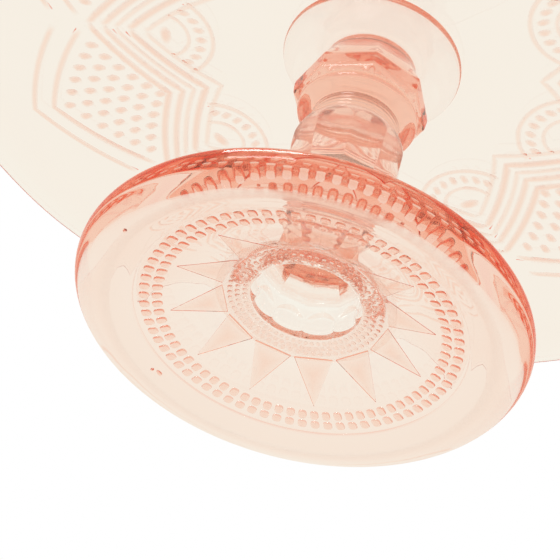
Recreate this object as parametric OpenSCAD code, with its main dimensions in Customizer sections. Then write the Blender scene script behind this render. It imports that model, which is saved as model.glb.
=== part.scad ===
// Footed dish of pressed pink glass, in seven sections that meet at fused faces.
// Millimetres, +Z up, origin in the middle of the plane the foot rests on.

/* [Foot] */
// Outside diameter of the foot
foot_d = 80; // [76:1:88]
// Thickness of the rounded outer edge of the foot
foot_edge = 4.5; // [4.1:0.1:4.8]
// Radius of the mouth of the hollow under the stem
hollow_r = 10.1; // [9.4:0.1:10.4]
// Number of points in the star pressed under the foot
star_points = 12; // [8:1:16]

/* [Stem] */
// Number of flat panels around the collar
collar_panels = 8; // [6:1:10]
// Number of arched panels around the knop and the stem below it
knop_panels = 10; // [8:1:12]
// Radius of the knop
knop_r = 10.8; // [10.4:0.1:11.4]
// Corner radius of the faceted collar under the bowl
collar_r = 13.3; // [12.8:0.1:14.2]
// Radius of the round seat the bowl stands on
seat_r = 17.8; // [16:0.1:18.2]

/* [Bowl] */
// Outside diameter of the bowl
bowl_d = 210; // [200:1:220]
// Thickness of the middle of the bowl
bowl_thick = 3.2; // [3:0.1:4]
// Number of diamond motifs around the bowl
motif_count = 9; // [7:1:11]
// Direction of one motif, in degrees around the bowl
motif_turn = 27.5; // [0:0.5:40]
// Height of the pressed lines above the plain glass
relief_depth = 0.5; // [0.3:0.1:0.7]

/* [Hidden] */
// heights of the fused faces between the sections
foot_top_z = 9;
base_top_z = 35;
knop_top_z = 49.5;
neck_top_z = 53;
collar_top_z = 69;
seat_top_z = 71.2;

// foot
foot_r = foot_d / 2;
rest_out_r = foot_r - 5.4;
rest_in_r = foot_r - 7;
edge_round = 1.2;
edge_z = foot_edge - edge_round;
margin_in_r = 29.4;
bead_band_z = 1.9;
bead_band_r = 28.6;
star_out_r = 23.6;
star_out_z = 3;
star_tip_r = 23.1;
star_in_r = 14.3;
star_in_z = 7.15;
hollow_z = 7.4;
hollow_top_z = 17.4;
joint_hollow_r = hollow_r - 0.5;
base_r = 16.8;
base_top_r = 9.6;
star_turn = 12.7;
bead_count = 72;
bead_half_l = 0.8;
bead_w = 1.2;
knop_turn = 13;

// bowl
rim_r = bowl_d / 2;
rim_z = 83;
lip_r = 1.5;
floor_z = seat_top_z + bowl_thick;
layer_in = 0.4;
line_w = 1.2;

$fn = 96;

// points of an arc, or of an ellipse when its height rz is not its width r
function arc(cx, cz, r, from, to, n, rz = 0) =
    [for (i = [0:n]) let (a = from + (to - from) * i / n) [cx + r * cos(a), cz + (rz ? rz : r) * sin(a)]];

// outline of the hollow, from the fused face to its top on the axis
hollow_line = [
    [joint_hollow_r, foot_top_z], [9.2, 11], [8.8, 13], [8.1, 14.6], [6.8, 15.8], [4.8, 16.8],
    [2.4, 17.3], [0, hollow_top_z]
];

// outline of the plain underside of the bowl, from the seat outwards
under_line = [
    [18.6, seat_top_z], [34, 71.9], [60, 72.9], [78, 74], [rim_r - 15, 75.9],
    [rim_r - 7, 78], [rim_r - 1.5, rim_z - 2.4]
];

module foot_body() {
    rotate_extrude() polygon(concat(
        [[rest_in_r, 0]],
        [
            [rest_out_r, 0], [foot_r - 4.8, 0.1], [foot_r - 3.5, 0.42], [foot_r - 2.3, 0.83], [foot_r - 1.4, 1.22],
            [foot_r - 0.65, 1.73], [foot_r - 0.14, 2.5], [foot_r, edge_z]
        ],
        arc(foot_r - edge_round, edge_z, edge_round, 15, 80, 5),
        [
            [37, 5.15], [34, 5.9], [28, 7], [22, 8.05], [base_r + 0.2, foot_top_z], [joint_hollow_r, foot_top_z],
            [hollow_r, hollow_z], [10.5, hollow_z - 0.1], [star_in_r, star_in_z],
            [star_out_r, star_out_z], [bead_band_r, bead_band_z], [margin_in_r, 1.3], [31.4, 0.5]
        ]));
}

// one long triangle of the star, wide at the inner ring and sharp at the outer one
module star_blade() {
    half_w = star_in_r * sin(180 / star_points) * 0.86;
    linear_extrude(8) polygon([[star_in_r - 0.3, -half_w], [star_tip_r, 0], [star_in_r - 0.3, half_w]]);
}

// a thin skin on the underside between two points of its outline, which the relief stands in
module relief_layer(in_point, out_point) {
    rotate_extrude() polygon([
        [in_point[0], in_point[1] - relief_depth], [out_point[0], out_point[1] - relief_depth],
        [out_point[0], out_point[1] + layer_in], [in_point[0], in_point[1] + layer_in]
    ]);
}

// a ring of short radial bars
module bead_row(row_r) {
    for (i = [0:bead_count - 1]) rotate(star_turn + i * 360 / bead_count)
        translate([row_r - bead_half_l, -bead_w / 2, 0]) cube([2 * bead_half_l, bead_w, 8]);
}

module foot() {
    color([0.96, 0.72, 0.66]) {
        foot_body();
        intersection() {
            relief_layer([star_in_r, star_in_z], [star_out_r, star_out_z]);
            for (i = [0:star_points - 1]) rotate(star_turn + i * 360 / star_points) star_blade();
        }
        intersection() {
            relief_layer([star_out_r, star_out_z], [bead_band_r, bead_band_z]);
            for (row_r = [25.2, 27.2]) bead_row(row_r);
        }
    }
}

// an upright prism with count sides
module panel_prism(corner_r, count, from_z, to_z) {
    translate([0, 0, from_z]) cylinder(h = to_z - from_z, r = corner_r, $fn = count);
}

module stem_base() {
    color([0.95, 0.66, 0.60]) difference() {
        union() {
            rotate_extrude() polygon([
                [0, foot_top_z], [base_r, foot_top_z], [15.5, 9.36], [13.7, 10.35], [11.2, 12.8], [9.3, 15.8],
                [8, 20], [7.4, 25], [7.4, 28.5], [7.9, 31], [8.7, 33], [base_top_r, base_top_z], [0, base_top_z]
            ]);
            rotate(knop_turn) panel_prism(8.1, knop_panels, 16, 33);
        }
        rotate_extrude() polygon(concat([[0, foot_top_z - 1], [joint_hollow_r, foot_top_z - 1]], hollow_line));
    }
}

module knop() {
    color([0.95, 0.62, 0.56]) intersection() {
        rotate_extrude() polygon([
            [0, base_top_z], [base_top_r, base_top_z], [knop_r - 0.4, 38], [knop_r, 41],
            [knop_r, 44.6], [knop_r - 0.4, 46.6], [9.6, 48.6], [8.6, knop_top_z], [0, knop_top_z]
        ]);
        rotate(knop_turn) panel_prism(knop_r, knop_panels, base_top_z - 1, knop_top_z + 1);
    }
}

module neck() {
    color([0.96, 0.70, 0.64]) rotate_extrude() polygon([
        [0, knop_top_z], [8.6, knop_top_z], [8.2, 50.1], [8.7, 50.7], [8.7, 51], [8.2, 51.5],
        [8.5, 52], [8.5, 52.3], [8.2, 52.6], [8.6, neck_top_z], [0, neck_top_z]
    ]);
}

// takes a flat slanting facet off the shoulder of the collar
module shoulder_cut() {
    translate([flat_r(collar_r + 0.3), -20, 59.4]) rotate([0, -26, 0]) cube([20, 40, 20]);
}

function flat_r(corner_r) = corner_r * cos(180 / collar_panels);

module collar() {
    color([0.94, 0.58, 0.52]) difference() {
        intersection() {
            rotate_extrude() polygon([
                [0, neck_top_z], [8.6, neck_top_z], [9.3, 54.3], [10.5, 55.4], [collar_r - 0.5, 56.2],
                [collar_r, 57], [collar_r, 60], [collar_r - 1.2, 62.6], [10.4, 66], [9.2, 67.8],
                [9.2, collar_top_z], [0, collar_top_z]
            ]);
            panel_prism(collar_r + 0.3, collar_panels, neck_top_z - 1, collar_top_z + 1);
        }
        for (i = [0:collar_panels - 1]) rotate((i + 0.5) * 360 / collar_panels) shoulder_cut();
    }
}

module bowl_seat() {
    color([0.96, 0.70, 0.64]) rotate_extrude() polygon([
        [0, collar_top_z], [9.2, collar_top_z], [10.2, 69.7], [12, 70.1], [seat_r - 0.5, 70.4],
        [seat_r, 70.8], [seat_r, seat_top_z], [0, seat_top_z]
    ]);
}

module bowl_body() {
    rotate_extrude() polygon(concat(
        [[0, seat_top_z]],
        under_line,
        arc(rim_r - lip_r, rim_z - lip_r, lip_r, -30, 120, 8),
        [
            [rim_r - 7.6, floor_z + 6.2], [rim_r - 16, floor_z + 4], [77, floor_z + 2.5],
            [60, floor_z + 1.5], [34, floor_z + 0.6], [0, floor_z]
        ]));
}

// the layer on the underside that the pressed lines stand in
module line_layer() {
    out = [[34, 71.9], [60, 72.9], [78, 74], [rim_r - 15, 75.9]];
    rotate_extrude() polygon(concat(
        [for (p = out) [p[0], p[1] - relief_depth]],
        [for (i = [3:-1:0]) [out[i][0], out[i][1] + layer_in]]));
}

// a closed zigzag line around the bowl, one point towards the middle in each motif
module zigzag(inner_r, outer_r) {
    step = 180 / motif_count;
    linear_extrude(20) difference() {
        polygon([for (i = [0:2 * motif_count - 1])
            let (r = (i % 2 == 0 ? inner_r : outer_r) + line_w / 2) [r * cos(i * step), r * sin(i * step)]]);
        polygon([for (i = [0:2 * motif_count - 1])
            let (r = (i % 2 == 0 ? inner_r : outer_r) - line_w / 2) [r * cos(i * step), r * sin(i * step)]]);
    }
}

module bowl_lines() {
    intersection() {
        line_layer();
        translate([0, 0, 66]) rotate(motif_turn) {
            for (k = [0:4]) zigzag(35 + 3 * k, 48 + 2.9 * k);
            zigzag(74, 61.8);
            zigzag(79, 66.6);
        }
    }
}

module bowl() {
    color([0.98, 0.84, 0.78]) {
        bowl_body();
        bowl_lines();
    }
}

foot();
stem_base();
knop();
neck();
collar();
bowl_seat();
bowl();
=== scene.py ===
import math

import bmesh
import bpy
import numpy as np
from mathutils import Matrix, Vector


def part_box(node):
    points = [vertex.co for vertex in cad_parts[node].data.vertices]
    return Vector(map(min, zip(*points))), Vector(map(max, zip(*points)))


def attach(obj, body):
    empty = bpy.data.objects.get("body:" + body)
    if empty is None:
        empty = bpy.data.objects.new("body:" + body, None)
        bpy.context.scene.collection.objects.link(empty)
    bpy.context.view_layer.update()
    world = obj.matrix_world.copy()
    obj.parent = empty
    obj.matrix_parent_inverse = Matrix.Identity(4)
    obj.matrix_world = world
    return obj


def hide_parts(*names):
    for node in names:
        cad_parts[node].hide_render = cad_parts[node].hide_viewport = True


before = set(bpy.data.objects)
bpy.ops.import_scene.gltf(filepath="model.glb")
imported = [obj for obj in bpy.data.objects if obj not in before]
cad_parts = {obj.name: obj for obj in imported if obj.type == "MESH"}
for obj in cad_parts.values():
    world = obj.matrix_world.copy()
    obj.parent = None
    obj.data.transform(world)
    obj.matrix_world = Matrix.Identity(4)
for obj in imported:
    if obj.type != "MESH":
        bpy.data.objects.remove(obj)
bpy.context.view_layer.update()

MM = 0.001

# ---------------------------------------------------------------- sizes, from the frame, in millimetres


def high(node):
    """The highest corner of a node's box."""
    return [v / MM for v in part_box(node)[1]]


FOOT_R = high("foot")[0]
BOWL_R = high("bowl")[0]
FOOT_TOP = high("foot")[2]
BASE_TOP = high("stem_base")[2]
KNOP_TOP = high("knop")[2]
NECK_TOP = high("neck")[2]
COLLAR_TOP = high("collar")[2]
SEAT_TOP = high("bowl_seat")[2]
RIM_TOP = high("bowl")[2]

SEAT_R = high("bowl_seat")[0]

# radii of the fused faces
HOLLOW_R = 9.6          # the hollow, where foot and stem base meet
BASE_R = 16.8           # foot and stem base
KNOP_LOW_R = 9.6        # stem base and knop
NECK_R = 8.6            # knop and neck
COLLAR_LOW_R = 8.6      # neck and collar
SEAT_LOW_R = 9.2        # collar and bowl seat

EDGE = 4.5              # thickness of the foot's edge
FUSE = 0.02             # how far each section runs into the next one, so that no air is left between

# directions of the pressed features around the axis, in degrees
STAR_TURN = 12.7
MOTIF_TURN = 27.5
CORNER_TURN = 13.0      # a corner between two knop panels

STAR_POINTS = 12
KNOP_PANELS = 10        # the hollow has as many flutes, in line with the panels
COLLAR_PANELS = 8
PANEL_FLAT = 0.98       # distance of a knop panel from the axis, as a share of the mean radius
PANEL_TURN = CORNER_TURN + 180 / KNOP_PANELS
BAND_TURN = 180 / COLLAR_PANELS
OUTER_BEADS = 72
INNER_BEADS = 60
MOTIFS = 9

# pink soda glass, whose colour lies in its depth
GLASS_COLOUR = (0.985, 0.59, 0.42, 1)
IOR = 1.5

# ---------------------------------------------------------------- mesh tools


def angles(count):
    return np.arange(count) * 2 * math.pi / count


def spread(start, end, count):
    """count evenly spaced values from start, leaving end to the next stretch."""
    return list(start + (end - start) * np.arange(count) / count)


def step(edge0, edge1, x):
    t = np.clip((x - edge0) / (edge1 - edge0), 0, 1)
    return t * t * (3 - 2 * t)


def curve(points, x):
    """A smooth height at x through given (x, height) points."""
    xs, ys = np.array(points, float).T
    slope = np.gradient(ys, xs)
    x = np.asarray(x, float)
    k = np.clip(np.searchsorted(xs, x) - 1, 0, len(xs) - 2)
    h = xs[k + 1] - xs[k]
    t = (x - xs[k]) / h
    return ((2 * t**3 - 3 * t**2 + 1) * ys[k] + (t**3 - 2 * t**2 + t) * h * slope[k]
            + (3 * t**2 - 2 * t**3) * ys[k + 1] + (t**3 - t**2) * h * slope[k + 1])


def arc(cx, cz, radius, start, end, count):
    turn = np.radians(np.linspace(start, end, count))
    return [(cx + radius * math.cos(a), cz + radius * math.sin(a)) for a in turn]


def off_centre(phi, count, turn):
    """Angle in degrees from the nearest of count evenly spaced directions."""
    pitch = 360 / count
    return (np.degrees(phi) - turn + pitch / 2) % pitch - pitch / 2


def skin(name, r, z, sharp_rows=(), loop=False):
    """A closed mesh from rows of radii and heights; loop joins the last row to the first."""
    rows, count = r.shape
    phi = angles(count)
    grid = np.stack([r * np.cos(phi), r * np.sin(phi), z], axis=2) * MM
    i = np.arange(count)
    after = (i + 1) % count
    faces = []
    if loop:
        points = grid.reshape(-1, 3)
        bands = [(j, (j + 1) % rows) for j in range(rows)]
    else:
        points = np.vstack([grid.reshape(-1, 3), grid[0].mean(0), grid[-1].mean(0)])
        bands = [(j, j + 1) for j in range(rows - 1)]
        first, last = rows * count, rows * count + 1
        faces += np.stack([np.full(count, first), after, i], 1).tolist()
        end = (rows - 1) * count
        faces += np.stack([np.full(count, last), end + i, end + after], 1).tolist()
    for a, b in bands:
        faces += np.stack([a * count + i, a * count + after, b * count + after, b * count + i], 1).tolist()
    volume = 0.0
    for f in faces:
        volume += points[f[0]] @ np.cross(points[f[1]], points[f[2]])
    if volume < 0:
        faces = [f[::-1] for f in faces]
    mesh = bpy.data.meshes.new(name)
    mesh.from_pydata(points.tolist(), [], faces)
    mesh.polygons.foreach_set("use_smooth", np.ones(len(mesh.polygons), bool))
    mesh.set_sharp_from_angle(angle=math.radians(62))
    ends = np.empty(len(mesh.edges) * 2, int)
    mesh.edges.foreach_get("vertices", ends)
    row = ends.reshape(-1, 2) // count
    sharp = np.empty(len(mesh.edges), bool)
    mesh.edges.foreach_get("use_edge_sharp", sharp)
    sharp |= (row[:, 0] == row[:, 1]) & np.isin(row[:, 0], list(sharp_rows))
    mesh.edges.foreach_set("use_edge_sharp", sharp)
    mesh.update()
    piece = bpy.data.objects.new(name, mesh)
    bpy.context.scene.collection.objects.link(piece)
    return piece


def cap(r, z, lift):
    """The rows of a fused face: its rim at z, and just inside it a flat disc moved by lift."""
    return [(r, z), (r - 0.05, z + lift), (r * 0.5, z + lift)]


def ring_cap(outer, inner, z, lift):
    return [(outer, z), (outer - 0.05, z + lift), (inner + 0.05, z + lift), (inner, z)]


def table(points, count):
    """Rows of points turned into full grids of radius and height."""
    points = np.array(points, float)
    return np.repeat(points[:, :1], count, 1), np.repeat(points[:, 1:], count, 1), points


# ---------------------------------------------------------------- outlines of the undersides


def foot_under(r):
    """Height of the foot's smooth underside inside the resting ring."""
    cone = [(10, 7.42), (12, 7.36), (14.1, 7.2), (14.9, 6.88), (19, 4.95), (23.6, 3.0), (26, 2.3),
            (28.7, 1.88)]
    return curve(cone, r)


def bowl_under(r):
    """Height of the bowl's smooth underside, from the seat to just below the lip."""
    shape = [(SEAT_R, SEAT_TOP), (34, 71.9), (50, 72.5), (67, 73.3), (80, 74.3), (BOWL_R - 13, 76.0),
             (BOWL_R - 7, 77.9), (BOWL_R - 2, 80.2)]
    return curve(shape, r)


def hollow_radius(z, phi):
    """Radius of the hollow under the stem: a dome cut by flutes with round tops."""
    dome = [(7.3, 9.8), (9, 9.35), (12, 9.1), (14, 8.8), (15.2, 8.2), (16.2, 7.0), (16.9, 5.0), (17.5, 1.6)]
    across = off_centre(phi, KNOP_PANELS, PANEL_TURN) / (180 / KNOP_PANELS)
    top = 13.4 - 1.9 * across**2
    deep = 0.95 * np.sqrt(np.clip(1 - across**2, 0, 1)) * step(0, 0.7, top - z)
    return curve(dome, z) + 0.85 * deep * step(7.0, 9.0, z)


# ---------------------------------------------------------------- pressed relief, as small closed solids


class Relief:
    """Collects small closed solids that stand out of an underside and run a little way into it."""

    def __init__(self, under):
        self.under = under
        self.points = []
        self.faces = []
        self.flat = []

    def add(self, x, y, height, faces, flat=False):
        """Points on the underside, each height below it, and the faces between them."""
        first = len(self.points)
        x, y = np.asarray(x, float), np.asarray(y, float)
        z = self.under(np.hypot(x, y)) - np.asarray(height, float)
        self.points += np.stack([x, y, z], 1).tolist()
        self.faces += [[first + v for v in face] for face in faces]
        self.flat += [flat] * len(faces)

    def dome(self, r, phi, half_r, half_side, height, power=2.0, turns=14, soft=False):
        """A pillow with its middle at r and phi: power 2 is an ellipse, more is squarer, soft is rounder."""
        rings = ((0.45, 0.93), (0.75, 0.72), (0.92, 0.4), (1.0, -FUSE / height))
        if soft:
            rings = ((0.35, 0.85), (0.6, 0.52), (0.82, 0.2), (1.0, -FUSE / height))
        a = np.arange(turns) * 2 * math.pi / turns
        along = np.sign(np.cos(a)) * np.abs(np.cos(a)) ** (2 / power) * half_r
        side = np.sign(np.sin(a)) * np.abs(np.sin(a)) ** (2 / power) * half_side
        out = [r]
        across = [0.0]
        up = [height]
        for share, level in rings:
            out += (r + along * share).tolist()
            across += (side * share).tolist()
            up += [height * level] * turns
        out, across = np.array(out), np.array(across)
        x = out * math.cos(phi) - across * math.sin(phi)
        y = out * math.sin(phi) + across * math.cos(phi)
        faces = [(0, 1 + (k + 1) % turns, 1 + k) for k in range(turns)]
        for ring in range(len(rings) - 1):
            p, q = 1 + ring * turns, 1 + (ring + 1) * turns
            faces += [(p + k, p + (k + 1) % turns, q + (k + 1) % turns, q + k) for k in range(turns)]
        last = 1 + (len(rings) - 1) * turns
        faces.append([last + k for k in range(turns)])
        self.add(x, y, up, faces)

    def rib(self, r, phi, half_width, height):
        """A rounded rib along a line of points, which sinks into the glass at its two ends."""
        x, y = np.array(r) * np.cos(phi), np.array(r) * np.sin(phi)
        tx, ty = np.gradient(x), np.gradient(y)
        length = np.hypot(tx, ty)
        nx, ny = -ty / length, tx / length
        shares = (-1, -0.67, -0.33, 0, 0.33, 0.67, 1)
        levels = (-FUSE / height, 0.28, 0.76, 1, 0.76, 0.28, -FUSE / height)
        wide = len(shares)
        px = np.stack([x + nx * half_width * t for t in shares], 1).ravel()
        py = np.stack([y + ny * half_width * t for t in shares], 1).ravel()
        up = np.tile(np.array(levels) * height, len(x))
        up[:wide] = up[-wide:] = -FUSE
        faces = []
        for k in range(len(x) - 1):
            p, q = k * wide, (k + 1) * wide
            faces += [(p + t, p + t + 1, q + t + 1, q + t) for t in range(wide - 1)]
            faces.append((p + wide - 1, p, q, q + wide - 1))
        end = (len(x) - 1) * wide
        faces.append(list(range(wide))[::-1])
        faces.append([end + t for t in range(wide)])
        self.add(px, py, up, faces)

    def point(self, phi, base_r, tip_r, apex_r, half_width, height, root):
        """One point of the star: a long low pyramid on a root that reaches into the glass."""
        out = np.array([base_r, base_r, tip_r, base_r, base_r, tip_r, apex_r])
        across = np.array([-half_width, half_width, 0, -half_width, half_width, 0, 0])
        x = out * math.cos(phi) - across * math.sin(phi)
        y = out * math.sin(phi) + across * math.cos(phi)
        faces = [(3, 4, 6), (4, 5, 6), (5, 3, 6), (0, 1, 4, 3), (1, 2, 5, 4), (2, 0, 3, 5), (0, 2, 1)]
        self.add(x, y, [-root] * 3 + [0.05] * 3 + [height], faces, flat=True)

    def build(self, name):
        points = np.array(self.points) * MM
        mesh = bpy.data.meshes.new(name)
        mesh.from_pydata(points.tolist(), [], self.faces)
        mesh.polygons.foreach_set("use_smooth", [not flat for flat in self.flat])
        work = bmesh.new()
        work.from_mesh(mesh)
        bmesh.ops.recalc_face_normals(work, faces=work.faces)
        work.to_mesh(mesh)
        work.free()
        mesh.set_sharp_from_angle(angle=math.radians(50))
        piece = bpy.data.objects.new(name, mesh)
        bpy.context.scene.collection.objects.link(piece)
        return piece


def make_foot_beads():
    """Two rows of square beads round the star."""
    relief = Relief(foot_under)
    for k in range(OUTER_BEADS):
        phi = math.radians(STAR_TURN + k * 360 / OUTER_BEADS)
        relief.dome(27.4, phi, 0.92, 0.85, 0.34, 3.0)
        relief.dome(25.2, phi, 0.92, 0.78, 0.34, 3.0)
    return relief.build("glass_foot_beads")


def make_flaws():
    """Small blisters in the foot's margin, two close together and one that lies inside the glass."""
    margin = np.array([(29.5, 1.27), (30.7, 0.9), (31.6, 0.65), (32.9, 1.0), (33.9, 2.2)])
    relief = Relief(lambda r: np.interp(r, margin[:, 0], margin[:, 1]))
    relief.dome(31.1, math.radians(134), 0.3, 0.75, 0.45, 2.0, 16)
    relief.dome(31.7, math.radians(136.5), 0.4, 0.3, 0.35, 2.0, 12)
    relief.dome(34.4, math.radians(-158.5), 0.3, 0.5, 0.4, 2.0, 16)
    return relief.build("glass_foot_flaws")


def make_inner_beads():
    """Three fine rows of beads round the mouth of the hollow, every other row set half a bead on."""
    relief = Relief(foot_under)
    for row, r in enumerate((10.75, 12.1, 13.4)):
        for k in range(INNER_BEADS):
            phi = math.radians(STAR_TURN + (k + 0.5 * (row % 2)) * 360 / INNER_BEADS)
            relief.dome(r, phi, 0.5, 0.034 * r, 0.16, 2.4, 10)
    return relief.build("glass_inner_beads")


def make_star():
    """The star under the foot, whose points run out from the inner bead rows."""
    relief = Relief(foot_under)
    for k in range(STAR_POINTS):
        phi = math.radians(STAR_TURN + k * 360 / STAR_POINTS)
        relief.point(phi, base_r=14.4, tip_r=23.3, apex_r=17.0, half_width=3.5, height=0.75, root=0.3)
    return relief.build("glass_foot_star")


def make_motifs():
    """The nine motifs under the bowl: zigzag ribs, a diamond of dashes, two outer lines and a fan."""
    relief = Relief(bowl_under)
    unit = 80 / 95      # the pattern is drawn 95 mm in radius and pressed 80 mm in radius
    side = np.linspace(0, 20, 15)
    short = np.linspace(0, 18.2, 13)
    zigzags = ((39.8, 0.7, 0.18), (44.0, 0.95, 0.32), (47.5, 0.7, 0.18), (50.7, 0.9, 0.28),
               (54.5, 0.95, 0.32))
    for k in range(MOTIFS):
        middle = MOTIF_TURN + k * 360 / MOTIFS
        for apex, width, height in zigzags:
            reach = (apex + 0.66 * side + 0.0069 * side**2) * unit
            both = np.concatenate([reach[:0:-1], reach])
            turn = np.radians(middle + np.concatenate([-side[:0:-1], side]))
            relief.rib(both, turn, width, height)
        for apex, fall in ((89.0, 16 / 18), (95.0, 15 / 18)):
            reach = (apex - fall * short) * unit
            both = np.concatenate([reach[:0:-1], reach])
            turn = np.radians(middle + np.concatenate([-short[:0:-1], short]))
            relief.rib(both, turn, 0.8, 0.25)
        for column in range(-5, 6):
            dashes = 6 - abs(column)
            for dash in range(dashes):
                r = (70.5 + 5.4 * (dash - (dashes - 1) / 2)) * unit
                relief.dome(r, math.radians(middle + 2.9 * column), 1.65, 0.95, 0.34, 2.2, 12, soft=True)
        valley = math.radians(middle + 180 / MOTIFS)
        fan_r = 51.0 * unit
        relief.dome(fan_r - 0.4, valley, 1.3, 2.5, 0.35, 2.0, 16, soft=True)
        for reach, width, height, spread_deg in ((10.4, 0.6, 0.2, 62), (5.3, 0.55, 0.18, 75)):
            around = np.radians(np.linspace(-spread_deg, spread_deg, 19))
            x = fan_r - reach * np.cos(around)
            y = reach * np.sin(around)
            relief.rib(np.hypot(x, y), valley + np.arctan2(y, x), width, height)
        for spoke in range(-3, 4):
            around = math.radians(18 * spoke)
            x = fan_r - 7.9 * math.cos(around)
            y = 7.9 * math.sin(around)
            relief.dome(math.hypot(x, y), valley + math.atan2(y, x), 1.45, 0.8, 0.3, 2.2, 12, soft=True)
    return relief.build("glass_bowl_motifs")


# ---------------------------------------------------------------- the seven glass sections


def make_foot():
    """The foot as a ring: hollow wall, underside, edge, sloping top and the face fused to the stem base."""
    count = 720
    phi = angles(count)
    wall = [(0.0, h) for h in (FOOT_TOP, 8.6, 8.2, 7.8, 7.55)]
    radii = [10.15, 10.35, 10.7, 11.5, 12.5, 13.4, 13.9, 14.1, 14.3, 14.5, 14.7, 14.9, 15.3]
    radii += spread(16, 28.6, 16) + [28.6]
    under = [(r, float(foot_under(r))) for r in radii]
    under += [(29.1, 1.84), (29.24, 1.7), (29.34, 1.38), (29.5, 1.27), (30, 1.14), (30.7, 0.9), (31.6, 0.55)]
    under += [(32.4, 0.2), (32.9, 0.04), (33.2, 0), (33.9, 0)]
    bend = [(FOOT_R - 5.9, 0.0), (FOOT_R - 4.8, 0.1), (FOOT_R - 3.5, 0.42), (FOOT_R - 2.3, 0.83),
            (FOOT_R - 1.4, 1.22)]
    edge = [(r, curve(bend, r)) for r in spread(FOOT_R - 5.6, FOOT_R - 1.4, 14)]
    edge += [(FOOT_R - 1.4, 1.22), (FOOT_R - 1.0, 1.45), (FOOT_R - 0.65, 1.73), (FOOT_R - 0.36, 2.08),
             (FOOT_R - 0.14, 2.5), (FOOT_R - 0.03, 2.9)]
    edge += arc(FOOT_R - 1.2, EDGE - 1.2, 1.2, 0, 80, 9)
    slope = [(17, 8.93), (22, 8.05), (28, 7.0), (34, 5.9), (37, 5.15), (39, 4.42)]
    top = [(r, curve(slope, r)) for r in (38.4, 37, 35, 32.5, 30, 27.5, 25, 23, 21, 19, 17.4)]
    fused = ring_cap(BASE_R, HOLLOW_R, FOOT_TOP, FUSE)[:3]
    r, z, points = table(wall + under + edge + top + fused, count)
    n = len(wall)
    r[:n] = hollow_radius(points[:n, 1:], phi)
    r[-1] = r[0] + 0.05
    last = len(points) - 1
    return skin("glass_foot", r, z, sharp_rows=(0, last - 2), loop=True)


def make_stem_base():
    """The flare and shaft, with the upper part of the fluted hollow in it."""
    count = 360
    phi = angles(count)
    heights = [17.5, 17.35, 17.1, 16.8, 16.4, 16] + spread(15.7, 9, 26) + [FOOT_TOP]
    dome = [(0.0, h) for h in heights]
    fused = [(HOLLOW_R, FOOT_TOP - FUSE), (BASE_R - 0.05, FOOT_TOP - FUSE), (BASE_R, FOOT_TOP)]
    flare = [(16.2, 9.14), (15.5, 9.36), (14.7, 9.72), (13.7, 10.35), (12.5, 11.4), (11.3, 12.85),
             (10.2, 14.3), (9.3, 16), (8.5, 18.2), (8, 20.4), (7.6, 23), (7.4, 25.5), (7.4, 28), (7.55, 29.6),
             (7.9, 31.1), (8.4, 32.5), (9.0, 33.8), (9.4, 34.6)]
    knop_face = cap(KNOP_LOW_R, BASE_TOP, FUSE)
    r, z, points = table(dome + fused + flare + knop_face, count)
    n = len(dome)
    r[:n] = hollow_radius(points[:n, 1:], phi)
    r[n] = r[n - 1] + 0.05
    first = n + len(fused) - 1
    side = np.radians(off_centre(phi, KNOP_PANELS, PANEL_TURN))
    flat = step(13, 19, points[:, 1:])
    flat[:first] = 0
    r *= 1 + flat * (PANEL_FLAT / np.cos(side) - 1)
    return skin("glass_stem_base", r, z, sharp_rows=(n - 1, first, len(points) - 3))


def make_knop():
    """The bulge, whose round side is cut by flat panels with arched tops."""
    count = 720
    phi = angles(count)
    low_face = cap(KNOP_LOW_R, BASE_TOP, -FUSE)[::-1]
    side = [(35, 10.3), (37, 10.5), (40, 10.8), (42.5, 10.88), (45.2, 10.75), (47, 10.3), (48.3, 9.6),
            (49.1, 8.95), (49.5, 8.6)]
    flats = [(35, KNOP_LOW_R * PANEL_FLAT), (38, 9.95), (41, 10.2), (50, 10.2)]
    body = [(float(curve(side, h)), h) for h in spread(BASE_TOP + 0.25, KNOP_TOP - 0.05, 60)]
    top_face = cap(NECK_R, KNOP_TOP, FUSE)
    r, z, points = table(low_face + body + top_face, count)
    turn = np.radians(off_centre(phi, KNOP_PANELS, PANEL_TURN))
    n, m = len(low_face), len(low_face) + len(body)
    r[:n] *= PANEL_FLAT / np.cos(turn)
    plane = curve(flats, points[n:m, 1:]) / np.cos(turn)
    soft = 0.03
    blend = -soft * np.log(np.exp(-r[n:m] / soft) + np.exp(-plane / soft))
    r[n:m] = np.minimum(blend, r[n:m])
    return skin("glass_knop", r, z, sharp_rows=(n - 1, m))


def make_neck():
    """The thin stretch above the knop, with fine rings round it."""
    count = 240
    low_face = cap(NECK_R, KNOP_TOP, -FUSE)[::-1]
    body = []
    for h in spread(KNOP_TOP + 0.1, NECK_TOP, 30):
        beads = 0.13 * math.cos(2 * math.pi * (h - KNOP_TOP) / 0.875)
        body.append((8.47 + beads, h))
    top_face = cap(COLLAR_LOW_R, NECK_TOP, FUSE)
    r, z, points = table(low_face + body + top_face, count)
    return skin("glass_neck", r, z, sharp_rows=(len(low_face) - 1, len(low_face) + len(body)))


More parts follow.
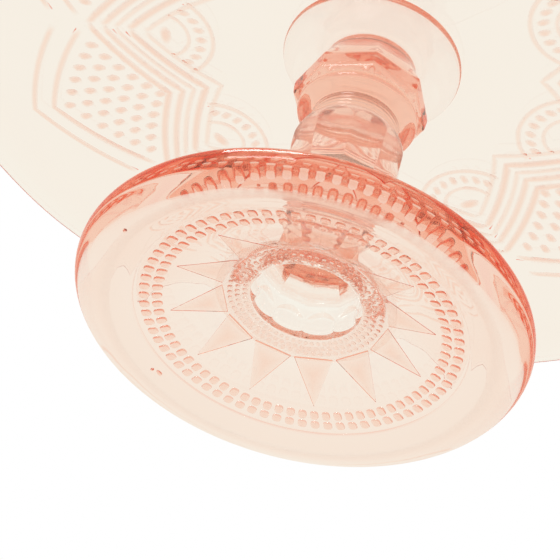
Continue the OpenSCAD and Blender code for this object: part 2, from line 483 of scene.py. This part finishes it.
def make_collar():
    """A round flare, and the eight-sided band that narrows to the bowl's seat."""
    count = 720
    phi = angles(count)
    low_face = cap(COLLAR_LOW_R, NECK_TOP, -FUSE)[::-1]
    flare = [(8.9, 53.3), (9.6, 53.7), (10.5, 54.1), (11.2, 54.5), (11.6, 54.9), (11.75, 55.3), (11.6, 55.6),
             (11.5, 55.8), (11.8, 56)]
    n_round = len(low_face) + len(flare)
    band = [(12.3, 56.25), (12.75, 56.6), (13.05, 57.0)]
    band += [(13.15 + 0.05 * k, 57.4 + 0.5 * k) for k in range(5)]
    band += [(13.3, 60.1), (13.0, 60.7), (12.5, 61.5), (11.9, 62.5), (11.3, 63.6), (10.7, 64.8), (10.1, 66),
             (9.6, 67.2), (9.3, 68.2)]
    top_face = cap(SEAT_LOW_R, COLLAR_TOP, FUSE)
    r, z, points = table(low_face + flare + band + top_face, count)
    turn = np.radians(off_centre(phi, COLLAR_PANELS, BAND_TURN))
    a, b = n_round, n_round + len(band)
    facet = np.cos(math.pi / COLLAR_PANELS) / np.cos(turn)
    soft = 0.004
    limit = -soft * np.log(np.exp(-facet / soft) + np.exp(-1.0 / soft))
    strength = step(68.6, 62, z[a:b]) * 0.6 + 0.4 * step(62.5, 60.5, z[a:b])
    r[a:b] *= 1 + strength * (limit - 1)
    return skin("glass_collar", r, z, sharp_rows=(len(low_face) - 1, b))


def make_seat():
    """The round disc that the bowl stands on."""
    count = 360
    low_face = cap(SEAT_LOW_R, COLLAR_TOP, -FUSE)[::-1]
    body = [(9.35, 69.15), (9.8, 69.45), (10.5, 69.7), (11.5, 69.92), (13, 70.12), (15, 70.28), (17, 70.42),
            (17.5, 70.5), (SEAT_R - 0.06, 70.65), (SEAT_R, 70.85)]
    top_face = cap(SEAT_R, SEAT_TOP, FUSE)
    r, z, points = table(low_face + body + top_face, count)
    return skin("glass_bowl_seat", r, z, sharp_rows=(len(low_face) - 1, len(low_face) + len(body)))


def make_bowl():
    """The shallow bowl, whose rim has two slight lobes to each motif."""
    count = 540
    phi = angles(count)
    seat_face = cap(SEAT_R, SEAT_TOP, -FUSE)[::-1]
    radii = [18.4] + spread(20, 82, 40) + spread(82, 101.5, 14) + [101.5]
    outside = [(x, float(bowl_under(x))) for x in radii]
    lip = arc(BOWL_R - 1.5, RIM_TOP - 1.5, 1.5, -34, 118, 13)
    inner = [(0, 74.4), (34, 75), (60, 75.9), (77, 76.9), (BOWL_R - 16, 78.4), (BOWL_R - 8, 80.4),
             (BOWL_R - 3, 82.4)]
    inside = [(x, float(curve(inner, x))) for x in (101.4, 100, 98, 95, 91, 86, 80, 70, 58, 44, 30, 15, 4)]
    r, z, points = table(seat_face + outside + lip + inside, count)
    wave = np.cos(np.radians(off_centre(phi, 2 * MOTIFS, MOTIF_TURN)) * 2 * MOTIFS)
    r -= 0.3 * (1 - wave) / 2 * step(90, 104, points[:, :1])
    return skin("glass_bowl", r, z, sharp_rows=(len(seat_face) - 1,))


# ---------------------------------------------------------------- materials


def node(tree, kind, **inputs):
    """A new node of a kind, with some of its sockets set."""
    n = tree.nodes.new(kind)
    for name, value in inputs.items():
        n.inputs[name.replace("_", " ")].default_value = value
    return n


def glass_material(name, density, haze_low=0.0):
    """Glass coloured by its depth, with a faintly wavy skin, haze in patches, and wear where it rests."""
    m = bpy.data.materials.new(name)
    m.use_nodes = True
    tree = m.node_tree
    tree.nodes.clear()
    link = tree.links.new
    out = tree.nodes.new("ShaderNodeOutputMaterial")
    shader = node(tree, "ShaderNodeBsdfPrincipled", IOR=IOR)
    shader.inputs["Transmission Weight"].default_value = 1.0
    place = tree.nodes.new("ShaderNodeTexCoord")
    streak = node(tree, "ShaderNodeTexNoise", Scale=55.0, Detail=2.0, Roughness=0.5)
    tint = tree.nodes.new("ShaderNodeValToRGB")
    tint.color_ramp.elements[0].position = 0.3
    tint.color_ramp.elements[0].color = (0.996, 0.994, 0.988, 1)
    tint.color_ramp.elements[1].position = 0.7
    tint.color_ramp.elements[1].color = (1.0, 1.0, 0.995, 1)
    link(place.outputs["Object"], streak.inputs["Vector"])
    link(streak.outputs["Fac"], tint.inputs["Fac"])
    link(tint.outputs["Color"], shader.inputs["Base Color"])
    split = tree.nodes.new("ShaderNodeSeparateXYZ")
    link(place.outputs["Object"], split.inputs["Vector"])
    worn = tree.nodes.new("ShaderNodeMapRange")
    worn.inputs["From Min"].default_value = 0.0
    worn.inputs["From Max"].default_value = 0.12 * MM
    worn.inputs["To Min"].default_value = 0.22
    worn.inputs["To Max"].default_value = 0.0
    link(split.outputs["Z"], worn.inputs["Value"])
    haze = node(tree, "ShaderNodeTexNoise", Scale=240.0, Detail=3.0)
    link(place.outputs["Object"], haze.inputs["Vector"])
    shine = tree.nodes.new("ShaderNodeMapRange")
    shine.inputs["From Min"].default_value = 0.45
    shine.inputs["From Max"].default_value = 0.8
    shine.inputs["To Min"].default_value = haze_low
    shine.inputs["To Max"].default_value = haze_low + 0.03
    link(haze.outputs["Fac"], shine.inputs["Value"])
    rough = node(tree, "ShaderNodeMath")
    rough.operation = "MAXIMUM"
    link(worn.outputs["Result"], rough.inputs[0])
    link(shine.outputs["Result"], rough.inputs[1])
    link(rough.outputs["Value"], shader.inputs["Roughness"])
    swell = node(tree, "ShaderNodeTexNoise", Scale=70.0, Detail=1.0)
    link(place.outputs["Object"], swell.inputs["Vector"])
    bump = node(tree, "ShaderNodeBump", Strength=0.35, Distance=0.25 * MM)
    link(swell.outputs["Fac"], bump.inputs["Height"])
    link(bump.outputs["Normal"], shader.inputs["Normal"])
    depth = tree.nodes.new("ShaderNodeVolumeAbsorption")
    depth.inputs["Color"].default_value = GLASS_COLOUR
    depth.inputs["Density"].default_value = density
    link(shader.outputs["BSDF"], out.inputs["Surface"])
    link(depth.outputs["Volume"], out.inputs["Volume"])
    return m


def floor_material():
    """Pale paper that is only there from above, so that the underside can be looked at."""
    m = bpy.data.materials.new("pale_floor")
    m.use_nodes = True
    tree = m.node_tree
    tree.nodes.clear()
    link = tree.links.new
    out = tree.nodes.new("ShaderNodeOutputMaterial")
    paper = node(tree, "ShaderNodeBsdfDiffuse")
    paper.inputs["Color"].default_value = (0.86, 0.86, 0.85, 1)
    clear = tree.nodes.new("ShaderNodeBsdfTransparent")
    mix = tree.nodes.new("ShaderNodeMixShader")
    side = tree.nodes.new("ShaderNodeNewGeometry")
    link(side.outputs["Backfacing"], mix.inputs["Fac"])
    link(paper.outputs["BSDF"], mix.inputs[1])
    link(clear.outputs["BSDF"], mix.inputs[2])
    link(mix.outputs["Shader"], out.inputs["Surface"])
    return m


# ---------------------------------------------------------------- stage, lights and camera


def make_floor():
    """A wide plain floor, which does not shade what is seen through the glass."""
    half = 5.0
    drop = -0.02 * MM
    mesh = bpy.data.meshes.new("floor")
    corners = [(-half, -half, drop), (half, -half, drop), (half, half, drop), (-half, half, drop)]
    mesh.from_pydata(corners, [], [(0, 1, 2, 3)])
    floor = bpy.data.objects.new("floor", mesh)
    mesh.materials.append(floor_material())
    bpy.context.scene.collection.objects.link(floor)
    floor.visible_transmission = False
    floor.visible_glossy = False


def make_world():
    """White where the camera looks past the dish, and a warm off-white for the light in the glass."""
    world = bpy.data.worlds.new("studio")
    bpy.context.scene.world = world
    world.use_nodes = True
    tree = world.node_tree
    place = tree.nodes.new("ShaderNodeTexCoord")
    split = tree.nodes.new("ShaderNodeSeparateXYZ")
    rise = tree.nodes.new("ShaderNodeMapRange")
    rise.inputs["From Min"].default_value = -0.5
    rise.inputs["From Max"].default_value = 0.0
    blend = tree.nodes.new("ShaderNodeValToRGB")
    blend.color_ramp.elements[0].color = (0.93, 0.85, 0.78, 1)
    blend.color_ramp.elements[1].color = (0.93, 0.905, 0.82, 1)
    paths = tree.nodes.new("ShaderNodeLightPath")
    seen = tree.nodes.new("ShaderNodeMix")
    seen.data_type = "RGBA"     # colour mixing: sockets 0, 6 and 7 are factor, first and second colour
    seen.inputs[7].default_value = (1, 1, 1, 1)
    link = tree.links.new
    link(place.outputs["Generated"], split.inputs["Vector"])
    link(split.outputs["Z"], rise.inputs["Value"])
    link(rise.outputs["Result"], blend.inputs["Fac"])
    link(paths.outputs["Is Camera Ray"], seen.inputs[0])
    link(blend.outputs["Color"], seen.inputs[6])
    link(seen.outputs[2], tree.nodes["Background"].inputs["Color"])


def area_light(name, place, target, size, power):
    """A soft box that lights the glass and shines in it, but is not seen through it."""
    lamp = bpy.data.lights.new(name, "AREA")
    lamp.shape = "RECTANGLE"
    lamp.size, lamp.size_y = size
    lamp.energy = power
    holder = bpy.data.objects.new(name, lamp)
    holder.location = place
    holder.rotation_euler = (Vector(target) - Vector(place)).to_track_quat("-Z", "Y").to_euler()
    holder.visible_transmission = False
    bpy.context.scene.collection.objects.link(holder)


def make_camera():
    """Below the foot and in front of it, looking up and rolled a little, as the photograph was taken."""
    rise = math.radians(40.05)
    roll = math.radians(16.3)
    ahead = Vector((0, math.cos(rise), math.sin(rise)))
    level = Vector((1, 0, 0))
    above = level.cross(ahead)
    right = math.cos(roll) * level + math.sin(roll) * above
    up = -math.sin(roll) * level + math.cos(roll) * above
    data = bpy.data.cameras.new("camera")
    data.sensor_width = 36
    data.lens = 104.85
    data.clip_start = 0.01
    camera = bpy.data.objects.new("camera", data)
    place = Vector((-5.4, -217.1, -171.6)) * MM
    camera.matrix_world = Matrix.Translation(place) @ Matrix((right, up, -ahead)).transposed().to_4x4()
    bpy.context.scene.collection.objects.link(camera)
    bpy.context.scene.camera = camera


# one glass: the stem and bowl are tinted less, and the pressed relief more, so that its fine lines show
thick_glass = glass_material("pink_glass", 50.0)
thin_glass = glass_material("pink_glass_thin", 28.0)
stem_glass = glass_material("pink_glass_stem", 30.0, 0.07)
relief_glass = glass_material("pink_glass_relief", 1000.0)
motif_glass = glass_material("pink_glass_motif", 1300.0)
star_glass = glass_material("pink_glass_star", 450.0)
SECTIONS = (
    ("foot", make_foot, thick_glass),
    ("foot", make_foot_beads, relief_glass),
    ("foot", make_inner_beads, relief_glass),
    ("foot", make_star, star_glass),
    ("foot", make_flaws, relief_glass),
    ("stem_base", make_stem_base, stem_glass),
    ("knop", make_knop, stem_glass),
    ("neck", make_neck, stem_glass),
    ("collar", make_collar, thick_glass),
    ("bowl_seat", make_seat, thin_glass),
    ("bowl", make_bowl, thin_glass),
    ("bowl", make_motifs, motif_glass),
)
for section, make, glass in SECTIONS:
    piece = make()
    piece.data.materials.append(glass)
    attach(piece, "root")
    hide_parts(section)

make_floor()
make_world()
area_light("low_fill", (-0.67, -0.92, -0.36), (0, 0, 0), (0.6, 0.3), 4)
area_light("key", (-0.64, -0.78, 0.84), (0, 0, 0.04), (0.7, 0.45), 14)
make_camera()

scene = bpy.context.scene
scene.view_settings.view_transform = "Standard"
# light turns many times inside the thick glass, and a low limit leaves black spots
scene.cycles.max_bounces = 48
scene.cycles.transmission_bounces = 48
scene.cycles.glossy_bounces = 40
scene.cycles.transparent_max_bounces = 16
